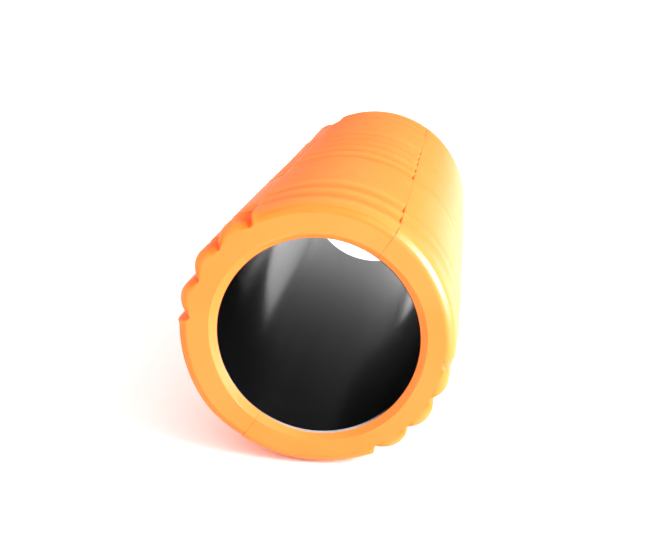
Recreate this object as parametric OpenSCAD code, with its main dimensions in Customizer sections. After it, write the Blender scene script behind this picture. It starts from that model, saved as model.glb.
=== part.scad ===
// Foam roller: a rigid core tube inside a sleeve of two moulded foam halves.
// Millimetres. The roller lies on its side: its axis is Y, +Z is up, and the origin is the
// middle of the bore. Angles about the axis run from +X towards +Z, as seen from the -Y end.

/* [Roller] */
// Overall length over the two foam end faces
roller_len = 330; // [264:33:660]
// Outside diameter over the tread
roller_d = 140; // [134:1:160]

/* [Core tube] */
// Bore of the tube
bore_d = 103; // [96:1:104]
// Wall thickness of the tube
core_wall = 3.2; // [2:0.2:4]
// How far each end of the tube sits behind the foam end face
core_recess = 2.5; // [1.5:0.5:4]
// Bevel on the rim edges of the tube
rim_bevel = 0.5; // [0.2:0.1:0.8]

/* [Foam sleeve] */
// Angle of the upper seam between the foam halves
seam_angle = 55; // [0:5:90]
// Rounding of the outer edge of each end face
end_fillet = 5.5; // [3:0.5:8]
// Width of the tube rim that shows inside the foam lip
rim_showing = 1.1; // [0.5:0.1:1.8]

/* [Tread] */
// Tread pitches along the length
pitch_count = 16; // [8:2:32]
// Angle between neighbouring lengthwise channels
channel_pitch = 17.5; // [12:0.5:22]
// Depth of a lengthwise channel
channel_depth = 4.8; // [2:0.2:6]
// Width of a lengthwise channel at the tread surface
channel_width = 5; // [3:0.5:8]
// Depth of a ring groove
groove_depth = 1.8; // [1:0.1:3]
// Width of a ring groove at the tread surface
groove_width = 9; // [6:0.5:12]
// Depth of a cut across the finger rows
cut_depth = 2.6; // [1:0.1:3.5]
// Width of a cut across the finger rows
cut_width = 4.5; // [4:0.5:7]

/* [Bonding] */
// Thickness of the adhesive
glue_t = 0.3; // [0.2:0.1:0.5]
// How far the adhesive stops short of the ends
glue_inset = 5; // [3:1:10]

/* [Hidden] */
$fn = 144;
roller_r = roller_d / 2;
bore_r = bore_d / 2;
core_r = bore_r + core_wall;
core_len = roller_len - 2 * core_recess;
sleeve_in_r = core_r + glue_t;
lip_r = bore_r + rim_showing;
channels = 4;
// Angles of a foam half, counted from its own first seam
half_turn = 180;
half_middle = half_turn / 2;
first_channel = half_middle - channel_pitch * (channels - 1) / 2;
last_channel = half_middle + channel_pitch * (channels - 1) / 2;
// The cuts to either side of a channel stop just short of its middle
cut_gap = 0.4;
// Ring grooves: five round the middle and two near each end, on whole pitches
pitch = roller_len / pitch_count;
end_place = pitch_count / 2;
middle_grooves = [for (k = [-2:2]) k * pitch];
end_grooves = [for (side = [-1, 1]) for (k = [1, 2]) side * (end_place - k) * pitch];
groove_places = concat(middle_grooves, end_grooves);
// Cuts across the fingers: seven round the middle and one near each end, with long plain bars
// between them
middle_cuts = [for (k = [-3:3]) k * pitch];
end_cuts = [for (side = [-1, 1]) side * (end_place - 1) * pitch];
cut_places = concat(middle_cuts, end_cuts);
// Seam adhesive stays this far below the bottom of the ring grooves
seam_cover = 0.7;
seam_bond_depth = roller_r - sleeve_in_r - groove_depth - seam_cover;
over = 2;
foam_colour = [0.98, 0.62, 0.22];
tube_colour = [0.09, 0.09, 0.1];
glue_colour = [0.86, 0.78, 0.5];

// Lays a shape built about Z along the roller's axis
module along_axis() {
    rotate([90, 0, 0]) children();
}

// Square corner less a quarter disc: what a rounding of radius r takes off the corner at
// the origin of a shape that fills the first quadrant
module corner_waste(r) {
    difference() {
        translate([-over, -over]) square(r + over);
        translate([r, r]) circle(r);
    }
}

// Radial section of the sleeve, with a rounded lip over each rim of the core tube
module sleeve_section() {
    difference() {
        polygon([
            [roller_r, -roller_len / 2],
            [roller_r, roller_len / 2],
            [lip_r, roller_len / 2],
            [lip_r, core_len / 2],
            [sleeve_in_r, core_len / 2],
            [sleeve_in_r, -core_len / 2],
            [lip_r, -core_len / 2],
            [lip_r, -roller_len / 2]
        ]);
        for (side = [0, 1]) mirror([0, side]) {
            translate([roller_r, roller_len / 2]) rotate(180) corner_waste(end_fillet);
            translate([lip_r, roller_len / 2]) mirror([0, 1]) corner_waste(core_recess);
        }
    }
}

// Everything on the first seam's far side, for angles 0 to 180, less half a glue line
module half_space() {
    translate([-roller_r - over, glue_t / 2, -roller_len / 2 - over])
        cube([2 * (roller_r + over), roller_r + over, roller_len + 2 * over]);
}

// Groove of round section in the tread, depth by width, swept from one angle to another
module ring_cut(place, depth, width, from, to) {
    r = (width * width / 4 + depth * depth) / (2 * depth);
    rotate([0, 0, from]) rotate_extrude(angle = to - from)
        translate([roller_r + r - depth, place]) circle(r);
}

// V-shaped channel along the whole tread
module channel_cut(angle) {
    slope = channel_width / 2 / channel_depth;
    rotate([0, 0, angle]) linear_extrude(roller_len + 2 * over, center = true)
        polygon([
            [roller_r - channel_depth, 0],
            [roller_r + over, (channel_depth + over) * slope],
            [roller_r + over, -(channel_depth + over) * slope]
        ]);
}

// One moulded half: a grooved band, three rows of fingers parted by cuts and a second
// grooved band
module foam_half(turn) {
    along_axis() rotate([0, 0, turn]) difference() {
        intersection() {
            rotate_extrude() sleeve_section();
            half_space();
        }
        for (k = [0:channels - 1]) channel_cut(first_channel + k * channel_pitch);
        for (place = groove_places) {
            ring_cut(place, groove_depth, groove_width, -over, first_channel - cut_gap);
            ring_cut(place, groove_depth, groove_width, last_channel + cut_gap,
                half_turn + over);
        }
        for (place = cut_places)
            ring_cut(place, cut_depth, cut_width, first_channel + cut_gap,
                last_channel - cut_gap);
    }
}

// Film of adhesive between the core tube and one foam half
module bond_layer(turn) {
    film_len = core_len - 2 * glue_inset;
    along_axis() rotate([0, 0, turn]) intersection() {
        difference() {
            cylinder(h = film_len, r = sleeve_in_r, center = true);
            cylinder(h = film_len + over, r = core_r, center = true);
        }
        half_space();
    }
}

// Film of adhesive between the two foam halves, at one seam
module seam_bond(turn) {
    film_len = roller_len - 2 * glue_inset;
    along_axis() rotate([0, 0, turn]) translate([sleeve_in_r, -glue_t / 2, -film_len / 2])
        cube([seam_bond_depth, glue_t, film_len]);
}

module core_tube() {
    color(tube_colour) along_axis() rotate_extrude() difference() {
        translate([bore_r, -core_len / 2]) square([core_wall, core_len]);
        for (side = [0, 1]) mirror([0, side])
            for (r = [bore_r, core_r]) translate([r, core_len / 2])
                rotate(45) square(rim_bevel * sqrt(2), center = true);
    }
}

module foam_half_left() {
    color(foam_colour) foam_half(seam_angle);
}

module foam_half_right() {
    color(foam_colour) foam_half(seam_angle + half_turn);
}

module bond_layer_left() {
    color(glue_colour) bond_layer(seam_angle);
}

module bond_layer_right() {
    color(glue_colour) bond_layer(seam_angle + half_turn);
}

module seam_bond_upper() {
    color(glue_colour) seam_bond(seam_angle);
}

module seam_bond_lower() {
    color(glue_colour) seam_bond(seam_angle + half_turn);
}

core_tube();
foam_half_left();
foam_half_right();
bond_layer_left();
bond_layer_right();
seam_bond_upper();
seam_bond_lower();
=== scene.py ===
"""Foam roller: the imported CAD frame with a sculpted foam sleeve, procedural materials, a pale floor
and soft light."""

import math
from typing import NamedTuple

import bpy
import numpy as np
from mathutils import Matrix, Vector


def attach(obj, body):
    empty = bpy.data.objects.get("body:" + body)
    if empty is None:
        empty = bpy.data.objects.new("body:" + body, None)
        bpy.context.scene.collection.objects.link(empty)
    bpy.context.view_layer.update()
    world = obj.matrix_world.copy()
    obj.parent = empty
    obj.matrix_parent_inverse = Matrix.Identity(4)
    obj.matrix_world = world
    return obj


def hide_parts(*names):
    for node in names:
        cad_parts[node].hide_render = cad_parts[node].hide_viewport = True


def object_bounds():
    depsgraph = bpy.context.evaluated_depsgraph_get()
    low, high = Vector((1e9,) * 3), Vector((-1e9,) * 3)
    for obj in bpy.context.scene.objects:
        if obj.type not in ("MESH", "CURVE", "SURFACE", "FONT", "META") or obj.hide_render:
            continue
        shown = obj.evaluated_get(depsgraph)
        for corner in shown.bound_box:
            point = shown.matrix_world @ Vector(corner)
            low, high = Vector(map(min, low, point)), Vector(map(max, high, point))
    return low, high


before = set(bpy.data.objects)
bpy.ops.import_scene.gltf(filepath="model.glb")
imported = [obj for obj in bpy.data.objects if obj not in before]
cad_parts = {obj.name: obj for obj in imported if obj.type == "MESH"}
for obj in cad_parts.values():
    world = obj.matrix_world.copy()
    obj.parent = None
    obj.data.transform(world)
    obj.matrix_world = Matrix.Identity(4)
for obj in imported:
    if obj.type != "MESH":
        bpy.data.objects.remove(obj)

cad_lo, cad_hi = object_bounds()
MM = 0.001

# ------------------------------------------------- dimensions, in mm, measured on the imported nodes


def node_size(name):
    """Outer radius and greatest y of a CAD node, in mm."""
    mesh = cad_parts[name].data
    co = np.empty(len(mesh.vertices) * 3)
    mesh.vertices.foreach_get("co", co)
    co = co.reshape(-1, 3) / MM
    return np.hypot(co[:, 0], co[:, 2]).max(), co[:, 1].max()


ROLLER_R, HALF_LEN = node_size("foam_half_left")
CORE_HALF = node_size("core_tube")[1]
SLEEVE_IN = node_size("bond_layer_left")[0]
ARC = math.radians(1) * ROLLER_R  # a degree's length round the tread

# ------------------------------------------------- the moulded pattern, in mm and degrees
# A local angle is counted from a half's own first seam, and a turned one from +X towards +Z.

SEAM = 55.0  # the upper seam
HALF_TURN = 180
HALF_MIDDLE = HALF_TURN / 2
PITCHES = 16
PITCH = 2 * HALF_LEN / PITCHES
RING_GROOVES = [-8, -7, -6, -2, -1, 0, 1, 2, 6, 7, 8]  # in pitches
CUTS = [-7, -3, -2, -1, 0, 1, 2, 3, 7]  # in pitches
DRIFT = 0.22  # the middle grooves and cuts sit this part of a pitch further back

CHANNEL_PITCH = 17.5
CHANNELS = [HALF_MIDDLE + (k - 1.5) * CHANNEL_PITCH for k in range(4)]
CHANNEL_DEPTH = 4.9
CHANNEL_SLOPE = 1.5
CHANNEL_ROUND = 0.3  # rounding of a channel's bottom
CHANNEL_EDGE = 0.4  # rounding between a channel and a finger
FINGERS = [(a + b) / 2 for a, b in zip(CHANNELS[:-1], CHANNELS[1:])]
FINGER_CROWN = 15.0  # radius of a finger's crown
SKEW_REACH = CHANNELS[0] - 25  # the skew dies out this far outside the outer channels

# the shoulders outside the outer channels: values at the front end and at the back end
SHOULDER_WIDTH = (4.6, 9.5)
SHOULDER_DEPTH = (2.4, 4.4)
SHOULDER_POWER = (2.2, 1.4)
SHOULDER_CHANGE = (60, 145)  # they change between these places

# the outer channels, in pitches from the middle: shallow beside the blocks, faint beside the bars
BLOCKS_END = (3.1, 3.9)
BARS_END = (6.3, 7.2)
SHALLOW = 0.9
FAINT_DEPTH = 0.15
FAINT_HALF = 2.0

GROOVE_POWER = 1.5
GROOVE_LOSS = 0.75  # the grooves lose this part of their depth behind the front end
GROOVE_FADES = (-48, 5)
CUT_DEPTH = 3.4
CUT_HALF = 1.7
CUT_EDGE = 0.6  # rounding between a cut and a finger
PLAIN_EDGE = 0.2  # part of that rounding that is left where the tread is plain
PILLOW_DROP = 1.0  # the blocks between the cuts are rounded off by this much
NICK_LENGTH = 4.5

END_FILLET = 5.5
END_POWER = 0.7  # how the pattern runs out over the rounded ends
END_EDGE = 0.8  # rounding between the pattern and the rounded ends
CREASE_ANGLE = 41
CREASE_HALF = 0.45
# how far outside the outer channels these start to fade, and are gone or whole, in degrees
GROOVES_STOP = (0.5, 6)
CUTS_STOP = (1.4, 3.4)
CREASE_STOP = (2, 8)
SEAM_GAP = 0.06
SEAM_EDGE = 0.2  # rounding of the seam's edges on the end faces, and half of it on the tread
GROOVE_SHADE_DEPTH = 2  # painted shade: the grooves' colour is deepest from this depth on

# how the sleeve differs from a true cylinder. An arc, in turned degrees, is a bell's centre and
# width, or the four angles where a plateau starts, is full, ends and is gone.
FULL_EVERYWHERE = 0.25
FULL_MIDDLE = 0.65
FULL_LOSS_BACK = 0.4
LOSS_STRETCH = (70, 160)
SWELL_FRONT_LEFT = 2.6
SWELL_ARC = (104, 138, 212, 244)
SWELL_POWER = 0.9
SWELL_BACK = 5  # what swells or is tucked in at the front dies out at this place
TUCK_BACK_LEFT = 0.6
BACK_LEFT_ARC = (130, 18)
BACK_LEFT_STRETCH = (-10, 40, 110, 145)
TUCK_FRONT_RIGHT = 1.4
FRONT_RIGHT_ARC = (12, 38)
FRONT_RIGHT_BACK = -125
TUCK_FRONT_LOW = 1.0
FRONT_LOW_ARC = (277, 22)
FLOOR_ARC = (270, 24)
SWELL_IN_GROOVES = 0.6  # the channels' bottoms lose this part of the swelling
SWELL_FROM_R = 58  # on the end faces the swelling starts at this radius
SWELL_RISE = 8

# the lip over the tube's rim, and how its edges wander
LIP_IN_R = 51.55
LIP_OUT_R = 55.4
LIP_OPEN = 0.85  # how far the lip stands back from the tube's rim underneath
LIP_OPEN_ARC = (229, 264, 288, 330)
LIP_RIGHT = 0.35
LIP_RIGHT_ARC = (0, 60)
LIP_NOTCH = 0.2
LIP_NOTCH_ARC = (45, 14)
LIP_RIPPLE = 0.025
LIP_RIPPLES = 7
LIP_WAVE = 0.25
LIP_WAVES = 5
LIP_WAVE_TURN = 10
LIP_TOP = 1.7
LIP_TOP_ARC = (95, 32)

# the mesh
SEAM_STEPS = (0, 0.03, 0.09, 0.17, 0.28, 0.42, 0.6, 0.9, 1.3, 1.8, 2.5, 3.4, 4.5)
LIP_STEPS = (0, 0.03, 0.1, 0.25, 0.45, 0.65, 0.82, 0.93, 0.98)  # in widths of the lip
FACE_STEPS = (0.08, 0.3, 0.9)
FILLET_STEPS = (90, 83, 76, 70, 64, 59, 54, 50, 47.5, 45, 43, 41, 38.5, 36, 33, 29, 24, 19, 14, 9, 4)
FINGER_MARGIN = 5  # the close columns start this many degrees outside the fingers
BAND_COLUMNS = 46
FINGER_COLUMNS = 92
TREAD_ROWS = 225
CUT_REACH = 4.5  # the close rows reach this far either side of a cut
CUT_STEP = 0.5
INNER_ROWS = 8
LEDGE_GAP = 0.12  # between the tube's rim and the foam behind the lip


class Half(NamedTuple):
    """What sets a foam half apart: the right one is pressed flatter."""

    turn: float  # its first seam's angle from the upper seam
    skew: tuple  # how far its fingers wander at the front and back ends
    groove_depth: float
    nick_depth: float  # the grooves nick the seam's edge
    nick_half: float
    crease_depth: float


LEFT = Half(0, (1.4, -0.9), groove_depth=1.05, nick_depth=0.9, nick_half=0.7, crease_depth=0.4)
RIGHT = Half(180, (-1.3, 0.0), groove_depth=0.45, nick_depth=0.25, nick_half=0.5, crease_depth=0.12)

# ------------------------------------------------- curves that the shapes are made of


def smooth_min(a, b, k):
    """The smaller of a and b, with a rounding of size k where they cross."""
    h = np.clip(0.5 + 0.5 * (b - a) / np.maximum(k, 1e-9), 0, 1)
    return b + (a - b) * h - k * h * (1 - h)


def smooth_max(a, b, k):
    return -smooth_min(-a, -b, k)


def fade(x, lo, hi):
    """Smooth step from 0 at lo to 1 at hi."""
    t = np.clip((x - lo) / (hi - lo), 0, 1)
    return t * t * (3 - 2 * t)


def plateau(x, lo, full, end, gone):
    """Smooth rise from 0 at lo to 1 at full, and fall from 1 at end to 0 at gone."""
    return fade(x, lo, full) * (1 - fade(x, end, gone))


def over_fingers(local, near, far):
    """1 over the fingers, falling to 0 from near to far degrees outside the outer channels."""
    return plateau(local, CHANNELS[0] - far, CHANNELS[0] - near, CHANNELS[-1] + near, CHANNELS[-1] + far)


def bell(x, width):
    return np.exp(-((x / width) ** 2))


def bump(angle, centre, width):
    """Bell of one angle round the roller."""
    return bell((angle - centre + 180) % 360 - 180, width)


def blend(pair, t):
    return pair[0] + (pair[1] - pair[0]) * t


def places(pitches):
    """Places of grooves or cuts along the roller: the middle ones sit a little further back."""
    return [(k + DRIFT * (1 - (k / (PITCHES / 2)) ** 2)) * PITCH for k in pitches]


def nearest(x, points):
    """Distance to the nearest of some points."""
    return np.min([np.abs(x - p) for p in points], axis=0)


# ------------------------------------------------- the tread


def fingers_and_channels(local, y):
    """Depth of the crowned fingers, of the channels between them and of the shoulders outside."""
    across = np.minimum(nearest(local, FINGERS), CHANNEL_PITCH / 2) * ARC
    crown = FINGER_CROWN - np.sqrt(FINGER_CROWN**2 - across**2)
    outside = np.maximum(CHANNELS[0] - local, local - CHANNELS[-1]) * ARC
    back = fade(y, *SHOULDER_CHANGE)
    slope = np.clip(1 - outside / blend(SHOULDER_WIDTH, back), 0, 1)
    shoulder = blend(SHOULDER_DEPTH, back) * slope ** blend(SHOULDER_POWER, back)
    off = nearest(local, CHANNELS) * ARC
    vee = CHANNEL_DEPTH - CHANNEL_SLOPE * (np.sqrt(off**2 + CHANNEL_ROUND**2) - CHANNEL_ROUND)
    depth = smooth_max(np.where(outside < 0, crown, shoulder), vee, CHANNEL_EDGE)
    # the outer channels nearly close beside the long bars and beside the middle blocks
    k = np.abs(y) / PITCH
    closed = plateau(k, *BLOCKS_END, *BARS_END) + SHALLOW * (1 - fade(k, *BLOCKS_END))
    weight = closed * ((local < FINGERS[0]) | (local > FINGERS[-1]))
    faint = FAINT_DEPTH * bell(off, FAINT_HALF)
    return depth * (1 - weight) + np.minimum(depth, faint) * weight


def ring_grooves(local, y, half):
    """Depth of the broad ring grooves in the plain bands, with narrow crests between neighbours."""
    t = np.clip(nearest(y, places(RING_GROOVES)) / (PITCH / 2), 0, 1) ** GROOVE_POWER
    depth = half.groove_depth * np.cos(math.pi / 2 * t) ** 2
    return depth * (1 - over_fingers(local, *GROOVES_STOP)) * (1 - GROOVE_LOSS * fade(y, *GROOVE_FADES))


def cross_cuts(local, y):
    """Depth of the cuts across the fingers, and of the rounded blocks between them."""
    off = nearest(y, places(CUTS))
    pillow = PILLOW_DROP * np.clip(1 - off / (PITCH / 2), 0, 1) ** 3
    return (CUT_DEPTH * bell(off, CUT_HALF) + pillow) * over_fingers(local, *CUTS_STOP)


def tread_depth(local, y, half):
    """Depth below the roller's radius, for columns of local angle and rows of y."""
    skew = np.interp(y, (-HALF_LEN, HALF_LEN), half.skew)
    skewed = local - skew * over_fingers(local, 0, SKEW_REACH)
    around = fingers_and_channels(skewed, y)
    along = np.maximum(ring_grooves(skewed, y, half), cross_cuts(skewed, y))
    depth = smooth_max(around, along, CUT_EDGE * np.minimum(1, around + PLAIN_EDGE))
    from_seam = np.minimum(local, HALF_TURN - local) * ARC
    nick = half.nick_depth * bell(from_seam, half.nick_half)
    return np.maximum(depth, 0) + nick * bell(nearest(y, places(RING_GROOVES[1:-1])), NICK_LENGTH)


# ------------------------------------------------- the sleeve


def fullness(turned, y):
    """Moulded foam is never quite round: it is a little full all round and at mid length, fullest
    at the front left, and flat where it stands on the floor."""
    barrel = FULL_EVERYWHERE + FULL_MIDDLE * (1 - (y / HALF_LEN) ** 2)
    barrel = barrel - FULL_LOSS_BACK * fade(y, *LOSS_STRETCH)
    front = np.clip((SWELL_BACK - y) / (HALF_LEN + SWELL_BACK), 0, 1) ** SWELL_POWER
    swell = SWELL_FRONT_LEFT * plateau(turned, *SWELL_ARC) * front
    off_floor = 1 - bump(turned, *FLOOR_ARC)
    low = TUCK_FRONT_LOW * bump(turned, *FRONT_LOW_ARC) * front
    back_left = TUCK_BACK_LEFT * bump(turned, *BACK_LEFT_ARC) * plateau(y, *BACK_LEFT_STRETCH)
    near_end = np.clip((FRONT_RIGHT_BACK - y) / (HALF_LEN + FRONT_RIGHT_BACK), 0, 1)
    front_right = TUCK_FRONT_RIGHT * bump(turned, *FRONT_RIGHT_ARC) * near_end**2
    return (barrel + swell) * off_floor - low - back_left - front_right


def lip_edges(turned):
    """How far the lip's inner and outer edges wander: the inner one stands back underneath."""
    inner = LIP_RIGHT * bump(turned, *LIP_RIGHT_ARC) + LIP_NOTCH * bump(turned, *LIP_NOTCH_ARC)
    inner = inner + LIP_RIPPLE * (1 + np.sin(np.radians(turned * LIP_RIPPLES)))
    inner = inner + LIP_OPEN * plateau(turned % 360, *LIP_OPEN_ARC)
    wave = LIP_WAVE * np.sin(np.radians(turned * LIP_WAVES + LIP_WAVE_TURN))
    return inner, wave - LIP_TOP * bump(turned, *LIP_TOP_ARC)


def half_columns():
    """Local angles of the mesh columns: close together at the seams and across the fingers."""
    edge = [math.degrees((SEAM_GAP / 2 + step) / ROLLER_R) for step in SEAM_STEPS]
    start = CHANNELS[0] - FINGER_MARGIN
    band = np.linspace(edge[-1], start, BAND_COLUMNS)[1:]
    fingers = np.linspace(start, HALF_MIDDLE, FINGER_COLUMNS)[1:]
    first = np.concatenate([edge, band, fingers])
    return np.concatenate([first, HALF_TURN - first[-2::-1]])


def tread_rows():
    """Places of the mesh rows along the tread: close together at the cuts."""
    limit = HALF_LEN - END_FILLET
    steps = np.arange(-CUT_REACH, CUT_REACH + CUT_STEP / 2, CUT_STEP)
    fine = [cut + step for cut in places(CUTS) for step in steps]
    even = np.linspace(-limit, limit, TREAD_ROWS)[1:-1]
    coarse = [y for y in even if nearest(y, places(CUTS)) > CUT_REACH + 0.4]
    return [-limit] + sorted(y for y in fine + coarse if abs(y) < limit - 0.2) + [limit]


def end_rows():
    """The front end's rows, from the lip's inner edge to the tread."""
    lip_y = HALF_LEN - CORE_HALF
    slant = math.atan2(LIP_OUT_R - LIP_IN_R, lip_y)
    rows = []
    for t in LIP_STEPS:
        r = LIP_IN_R + t * (LIP_OUT_R - LIP_IN_R)
        rows.append((r, -CORE_HALF - t * lip_y, -math.cos(slant), -math.sin(slant), "lip"))
    top = ROLLER_R - END_FILLET
    face = [LIP_OUT_R + step for step in FACE_STEPS]
    face += [*np.linspace(LIP_OUT_R + 2, top - 0.7, 5), top - 0.25]
    rows += [(r, -HALF_LEN, 0, -1, "end") for r in face]
    for degrees in FILLET_STEPS:
        out, forward = math.cos(math.radians(degrees)), math.sin(math.radians(degrees))
        y = END_FILLET - HALF_LEN - END_FILLET * forward
        rows.append((top + END_FILLET * out, y, out, -forward, "fillet"))
    return rows


def section_rows():
    """Closed section of the sleeve as (radius, y, normal r, normal y, part), from the inside round
    the front end, along the tread, round the back end and back along the inside."""
    front = end_rows()
    middle = [(ROLLER_R, y, 1, 0, "tread") for y in tread_rows()]
    back = [(r, -y, nr, -ny, part) for r, y, nr, ny, part in front[::-1]]
    ledge = CORE_HALF + LEDGE_GAP
    inner = [(SLEEVE_IN, y, -1, 0, "inner") for y in np.linspace(ledge, -ledge, INNER_ROWS)]
    return front + middle + back + inner


def half_points(half, columns, rows):
    """Points of one foam half, by column and row, and how deep in the pattern each one is."""
    base_r, base_y, nr, ny = (np.array([row[i] for row in rows], float)[None, :] for i in range(4))
    part = np.array([row[4] for row in rows])[None, :]
    local = columns[:, None]
    turned = local + SEAM + half.turn
    outer = np.isin(part, ["tread", "fillet"])
    depth = tread_depth(local, base_y, half)
    # the pattern runs out over the rounded ends, where each block is rounded like a pillow
    over_end = np.where(part == "fillet", np.clip(nr, 0, 1) ** END_POWER, 1.0)
    cut_back = smooth_min(base_r, ROLLER_R - depth, np.minimum(END_EDGE, depth))
    r = np.where(outer, np.minimum(cut_back, base_r - depth * over_end), base_r)
    # the swelling takes in the outer part of the end faces
    swell = fullness(turned, base_y) * (1 - SWELL_IN_GROOVES * np.clip(depth / CHANNEL_DEPTH, 0, 1))
    r = r + np.where(outer, 1.0, np.clip((base_r - SWELL_FROM_R) / SWELL_RISE, 0, 1)) * swell
    # the lip
    lip = part == "lip"
    inward = lip * np.clip((LIP_OUT_R - base_r) / (LIP_OUT_R - LIP_IN_R), 0, 1)
    inner_edge, outer_edge = lip_edges(turned)
    r = r + inward * inner_edge + lip * (1 - inward) * outer_edge
    # a fine crease runs round the plain bands where the tread meets the rounded end
    from_crease = (np.arctan2(np.abs(ny), nr) - math.radians(CREASE_ANGLE)) * END_FILLET
    crease = half.crease_depth * bell(from_crease, CREASE_HALF) * (part == "fillet")
    crease = crease * (1 - over_fingers(local, *CREASE_STOP))
    # the seam's edges are rounded on every outer face
    from_seam = np.minimum(local, HALF_TURN - local) * math.radians(1) * base_r - SEAM_GAP / 2
    bend = np.where(part == "tread", SEAM_EDGE / 2, SEAM_EDGE)
    reach = np.clip(bend - from_seam, 0, bend)
    rounded = (bend - np.sqrt(np.maximum(bend**2 - reach**2, 0))) * (part != "inner")
    sink = crease + rounded
    r = r - sink * nr
    y = base_y - sink * ny
    angle = np.radians(turned)
    points = np.stack([r * np.cos(angle), y, r * np.sin(angle)], -1)
    # the second value is how deep each point lies in the pattern, which colours the grooves as painted
    # shade
    return points, np.where(outer, np.clip(depth / GROOVE_SHADE_DEPTH, 0, 1), 0)


def flatten_seams(points, half):
    """Moves the first and last columns on to the seam faces, half a gap from the seam's plane."""
    for column, turn, side in ((0, 0, 1), (-1, 180, -1)):
        angle = math.radians(SEAM + half.turn + turn)
        normal = np.array([-math.sin(angle), 0, math.cos(angle)])
        off = points[column] @ normal - side * SEAM_GAP / 2
        points[column] -= np.outer(off, normal)


def half_faces(rows, n_columns):
    """Faces of one foam half and which of them are smooth: quads all over its skin, and flat
    polygons on the two seam faces, one for each stretch of the inside and one for each end."""
    index = np.arange(n_columns * len(rows)).reshape(n_columns, len(rows))
    after = np.roll(index, -1, axis=1)
    skin = np.stack([index[:-1], index[1:], after[1:], after[:-1]], -1).reshape(-1, 4).tolist()
    inner = [i for i, row in enumerate(rows) if row[4] == "inner"]
    tread = [i for i, row in enumerate(rows) if row[4] == "tread"]
    above = [min(tread, key=lambda t: abs(rows[t][1] - rows[i][1])) for i in inner]
    above[0], above[-1] = tread[-1], tread[0]
    seam = [[*range(above[0], inner[0] + 1)], [*range(above[-1] + 1), inner[-1]]]
    for j in range(len(inner) - 1):
        seam.append([inner[j], inner[j + 1], *range(above[j + 1], above[j] + 1)])
    first = [index[0, poly].tolist() for poly in seam]
    last = [index[-1, poly[::-1]].tolist() for poly in seam]
    return skin + first + last, [True] * len(skin) + [False] * (2 * len(seam))


def add_object(name, data):
    obj = bpy.data.objects.new(name, data)
    bpy.context.scene.collection.objects.link(obj)
    return obj


def foam_half(name, half):
    """One moulded half of the sleeve as a closed mesh, from seam to seam."""
    columns, rows = half_columns(), section_rows()
    points, groove_shade = half_points(half, columns, rows)
    flatten_seams(points, half)
    faces, smooth = half_faces(rows, len(columns))
    mesh = bpy.data.meshes.new(name)
    mesh.from_pydata((points.reshape(-1, 3) * MM).tolist(), [], faces)
    mesh.polygons.foreach_set("use_smooth", smooth)
    # painted shade: each point's depth in the pattern goes on the mesh, to darken the grooves
    shade = mesh.attributes.new("groove_shade", "FLOAT", "POINT")
    shade.data.foreach_set("value", groove_shade.astype(np.float32).ravel())
    mesh.update()
    return add_object(name, mesh)


# ------------------------------------------------- materials

RIM_INSETS = (0.55, 0.4)  # the tube's cut rim starts between these distances from its end, in mm
RIM_HIGHLIGHT_HEIGHTS = (-49, -37)  # painted highlight: the rim is pale below these heights, in mm


class Nodes:
    """A small helper to wire one procedural material."""

    def __init__(self, name):
        self.mat = bpy.data.materials.new(name)
        self.mat.use_nodes = True
        self.tree = self.mat.node_tree
        self.tree.nodes.clear()
        self.out = self.add("ShaderNodeOutputMaterial")
        self.bsdf = self.add("ShaderNodeBsdfPrincipled")
        self.link(self.bsdf, "BSDF", self.out, "Surface")
        self.coord = self.add("ShaderNodeTexCoord")

    def add(self, kind, **values):
        node = self.tree.nodes.new(kind)
        for key, value in values.items():
            setattr(node, key, value)
        return node

    def link(self, a, out, b, inp):
        self.tree.links.new(a.outputs[out], b.inputs[inp])

    def set(self, **values):
        """Sets sockets of the shader, with underscores for the spaces in their names."""
        for key, value in values.items():
            self.bsdf.inputs[key.replace("_", " ")].default_value = value

    def noise(self, scale, detail=3.0, rough=0.5, stretch=(1, 1, 1)):
        place = self.add("ShaderNodeMapping")
        place.inputs["Scale"].default_value = stretch
        self.link(self.coord, "Object", place, "Vector")
        node = self.add("ShaderNodeTexNoise")
        node.inputs["Scale"].default_value = scale
        node.inputs["Detail"].default_value = detail
        node.inputs["Roughness"].default_value = rough
        self.link(place, "Vector", node, "Vector")
        return node

    def spread(self, node, out, to, of=(0.3, 0.7)):
        """Maps an output from one range of values to another."""
        ranged = self.add("ShaderNodeMapRange")
        ranged.inputs["From Min"].default_value = of[0]
        ranged.inputs["From Max"].default_value = of[1]
        ranged.inputs["To Min"].default_value = to[0]
        ranged.inputs["To Max"].default_value = to[1]
        self.link(node, out, ranged, "Value")
        return ranged

    def maths(self, operation, a, a_out, b, b_out):
        node = self.add("ShaderNodeMath", operation=operation)
        self.link(a, a_out, node, 0)
        self.link(b, b_out, node, 1)
        return node

    def mix(self, factor, out, a, b):
        """Mixes two colours, each a tuple or another mix."""
        node = self.add("ShaderNodeMix", data_type="RGBA")
        self.tree.links.new(factor.outputs[out], node.inputs[0])
        for socket, colour in ((node.inputs[6], a), (node.inputs[7], b)):
            if isinstance(colour, tuple):
                socket.default_value = (*colour, 1)
            else:
                self.tree.links.new(colour.outputs[2], socket)
        return node

    def colour(self, mix):
        self.tree.links.new(mix.outputs[2], self.bsdf.inputs["Base Color"])

    def bumps(self, layers):
        """Layers of (node, output, strength, distance in m), chained."""
        last = None
        for node, out, strength, distance in layers:
            step = self.add("ShaderNodeBump")
            step.inputs["Strength"].default_value = strength
            step.inputs["Distance"].default_value = distance
            self.link(node, out, step, "Height")
            if last:
                self.link(last, "Normal", step, "Normal")
            last = step
        self.link(last, "Normal", self.bsdf, "Normal")


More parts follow.
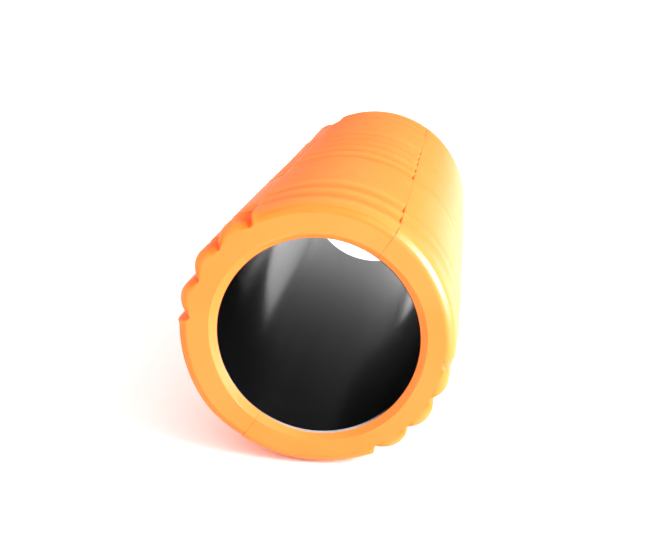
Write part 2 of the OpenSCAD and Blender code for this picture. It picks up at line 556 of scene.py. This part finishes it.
def foam_material():
    """Moulded EVA foam: faintly clouded, with painted shade that turns the grooves a deeper orange, and
    a fine matt skin.
    """
    n = Nodes("eva_foam")
    cloud = n.spread(n.noise(scale=22, detail=4), "Fac", to=(0, 1), of=(0.35, 0.65))
    body = n.mix(cloud, "Result", (0.98, 0.189, 0.028), (1.0, 0.207, 0.037))
    # painted shade: the grooves turn a deeper, darker orange with their depth
    groove_shade = n.add("ShaderNodeAttribute", attribute_name="groove_shade")
    groove_shade_amount = n.spread(groove_shade, "Fac", to=(0, 1), of=(0.1, 1.0))
    n.colour(n.mix(groove_shade_amount, "Result", body, (0.96, 0.143, 0.006)))
    n.link(n.spread(n.noise(scale=160), "Fac", to=(0.35, 0.4)), "Result", n.bsdf, "Roughness")
    n.set(Specular_IOR_Level=0.18)
    waves, cells = n.noise(scale=45, detail=2), n.noise(scale=2400, detail=2)
    n.bumps([(waves, "Fac", 0.25, 0.0006), (cells, "Fac", 0.25, 0.00008)])
    return n.mat


def core_material():
    """Black ABS with faint extrusion streaks and dust, and a matt sawn rim, with a painted highlight
    that makes it pale underneath.
    """
    n = Nodes("core_abs")
    streak = n.noise(scale=260, stretch=(1, 0.03, 1))
    dust = n.noise(scale=900, rough=0.6)
    place = n.add("ShaderNodeSeparateXYZ")
    n.link(n.coord, "Object", place, "Vector")
    along = n.add("ShaderNodeMath", operation="ABSOLUTE")
    n.link(place, "Y", along, 0)
    rim = n.spread(along, "Value", to=(0, 1), of=[(CORE_HALF - inset) * MM for inset in RIM_INSETS])
    # painted highlight: the lower part of the rim is pale grey
    low = n.spread(place, "Z", to=(1, 0), of=[z * MM for z in RIM_HIGHLIGHT_HEIGHTS])
    rim_painted_highlight = n.maths("MULTIPLY", rim, "Result", low, "Result")
    dusty = n.spread(dust, "Fac", to=(0, 1), of=(0.45, 0.75))
    body = n.mix(dusty, "Result", (0.0013, 0.0015, 0.0018), (0.0025, 0.0028, 0.0033))
    n.colour(n.mix(rim_painted_highlight, "Value", body, (0.3, 0.29, 0.28)))
    bore_rough = n.spread(streak, "Fac", to=(0.17, 0.19))
    rim_rough = n.spread(rim, "Result", to=(0, 0.65), of=(0, 1))
    rough = n.maths("MAXIMUM", bore_rough, "Result", rim_rough, "Result")
    n.link(rough, "Value", n.bsdf, "Roughness")
    n.set(Specular_IOR_Level=0.12)
    n.bumps([(streak, "Fac", 0.006, 0.0001), (dust, "Fac", 0.04, 0.00004)])
    return n.mat


def adhesive_material():
    """Lumpy dried adhesive."""
    n = Nodes("contact_adhesive")
    lump = n.noise(scale=300, detail=4)
    shade = n.spread(lump, "Fac", to=(0, 1))
    n.colour(n.mix(shade, "Result", (0.5, 0.2, 0.05), (0.62, 0.32, 0.1)))
    n.link(n.spread(lump, "Fac", to=(0.35, 0.6)), "Result", n.bsdf, "Roughness")
    n.bumps([(lump, "Fac", 0.3, 0.0002)])
    return n.mat


def floor_material():
    """White paper that glows faintly, except close to the roller."""
    n = Nodes("pale_floor")
    grain = n.spread(n.noise(scale=60), "Fac", to=(0, 1))
    n.colour(n.mix(grain, "Result", (0.96, 0.96, 0.96), (0.98, 0.98, 0.98)))
    n.set(Roughness=0.8, Specular_IOR_Level=0.2, Emission_Color=(1, 1, 1, 1))
    reach = n.add("ShaderNodeVectorMath", operation="LENGTH")
    n.link(n.coord, "Object", reach, 0)
    glow = n.spread(reach, "Value", to=(0, 0.25), of=(0.16, 0.34))
    n.link(glow, "Result", n.bsdf, "Emission Strength")
    return n.mat


def flag_material():
    n = Nodes("black_flag")
    n.set(Base_Color=(0, 0, 0, 1), Roughness=1.0, Specular_IOR_Level=0.0)
    return n.mat


def paint(obj, mat):
    if not obj.material_slots:
        obj.data.materials.append(mat)
    for slot in obj.material_slots:
        slot.material = mat


# ------------------------------------------------- the object's pieces

foam = foam_material()
sleeves = (("foam_sleeve_left", "foam_half_left", LEFT), ("foam_sleeve_right", "foam_half_right", RIGHT))
for name, node, half in sleeves:
    piece = foam_half(name, half)
    paint(piece, foam)
    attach(piece, "root")
    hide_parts(node)

paint(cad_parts["core_tube"], core_material())
adhesive = adhesive_material()
for node in ("bond_layer_left", "bond_layer_right", "seam_bond_upper", "seam_bond_lower"):
    paint(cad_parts[node], adhesive)

# ------------------------------------------------- floor, light and camera, in m

FLOOR_SIDE = 40.0
CARD_DISTANCE = 3.0
FLAG_R = 0.6
FLAG_GAP = 0.1
CAMERA_PLACE = Vector((0.0709, -0.6532, 0.1808))
CAMERA_AIM = Vector((-0.01818, 0.0, -0.01324))
CAMERA_LENS = 58.08  # in mm, on a 36 mm sensor


def stage_face(name, corners, mat):
    """One flat face that belongs to the stage and not to the object."""
    mesh = bpy.data.meshes.new(name)
    mesh.from_pydata(corners, [], [range(len(corners))])
    obj = add_object(name, mesh)
    paint(obj, mat)
    return obj


def studio_world(level, side, dim):
    """Even white light from all round, with one dim side of the studio."""
    world = bpy.data.worlds.new("studio")
    world.use_nodes = True
    tree = world.node_tree
    sky = tree.nodes["Background"]
    sky.inputs["Color"].default_value = (1, 1, 1, 1)
    coord = tree.nodes.new("ShaderNodeTexCoord")
    dot = tree.nodes.new("ShaderNodeVectorMath")
    dot.operation = "DOT_PRODUCT"
    dot.inputs[1].default_value = side
    tree.links.new(coord.outputs["Generated"], dot.inputs[0])
    fall = tree.nodes.new("ShaderNodeMapRange")
    fall.interpolation_type = "SMOOTHSTEP"
    for key, value in (("From Min", 0.7), ("From Max", 0.92), ("To Min", level), ("To Max", dim)):
        fall.inputs[key].default_value = value
    tree.links.new(dot.outputs["Value"], fall.inputs["Value"])
    # behind the object the studio stays plain white
    path = tree.nodes.new("ShaderNodeLightPath")
    seen = tree.nodes.new("ShaderNodeMath")
    seen.operation = "MAXIMUM"
    tree.links.new(fall.outputs["Result"], seen.inputs[0])
    tree.links.new(path.outputs["Is Camera Ray"], seen.inputs[1])
    tree.links.new(seen.outputs["Value"], sky.inputs["Strength"])
    bpy.context.scene.world = world


def area_light(name, direction, distance, size, level, shape="SQUARE"):
    """A soft box that lights the roller from a direction; level is the brightness that it gives a
    white surface facing it."""
    data = bpy.data.lights.new(name, "AREA")
    data.shape = shape
    data.size = size
    data.energy = level * math.pi**2 * distance**2
    obj = add_object(name, data)
    away = Vector(direction).normalized()
    obj.location = away * distance
    obj.rotation_mode = "QUATERNION"
    obj.rotation_quaternion = away.to_track_quat("Z", "Y")
    return obj


def bore_card():
    """A round card behind the roller that shines along the bore only. A black flag over its middle
    keeps the bore dark when it is seen end on."""
    card = area_light("card", (0, 1, 0), CARD_DISTANCE, size=1.7, level=0.27, shape="DISK")
    card.visible_diffuse = False
    card.visible_camera = False
    lit_by_card = bpy.data.collections.new("lit_by_card")
    lit_by_card.objects.link(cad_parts["core_tube"])
    card.light_linking.receiver_collection = lit_by_card
    turns = np.radians(range(0, 360, 10))
    flag_y = CARD_DISTANCE - FLAG_GAP
    rim = [(FLAG_R * math.cos(a), flag_y, FLAG_R * math.sin(a)) for a in turns]
    flag = stage_face("flag", rim, flag_material())
    flag.visible_camera = False
    flag.visible_diffuse = False


reach = FLOOR_SIDE / 2
corners = [(-reach, -reach), (reach, -reach), (reach, reach), (-reach, reach)]
stage_face("floor", [(x, y, cad_lo.z) for x, y in corners], floor_material())

studio_world(level=1.3, side=(0, 1, 0), dim=0.18)
area_light("key", (0.875, -0.32, 0.37), distance=2.4, size=1.4, level=2.2)
shine = area_light("shine", (0.905, -0.323, 0.278), distance=2.3, size=0.85, level=10.0)
shine.visible_diffuse = False
bore_card()

camera = add_object("camera", bpy.data.cameras.new("camera"))
camera.data.lens = CAMERA_LENS
camera.data.sensor_width = 36
camera.data.clip_start = 0.01
camera.data.clip_end = 50
camera.location = CAMERA_PLACE
camera.rotation_mode = "QUATERNION"
camera.rotation_quaternion = (CAMERA_AIM - CAMERA_PLACE).to_track_quat("-Z", "Y")
bpy.context.scene.camera = camera
bpy.context.scene.view_settings.view_transform = "Standard"
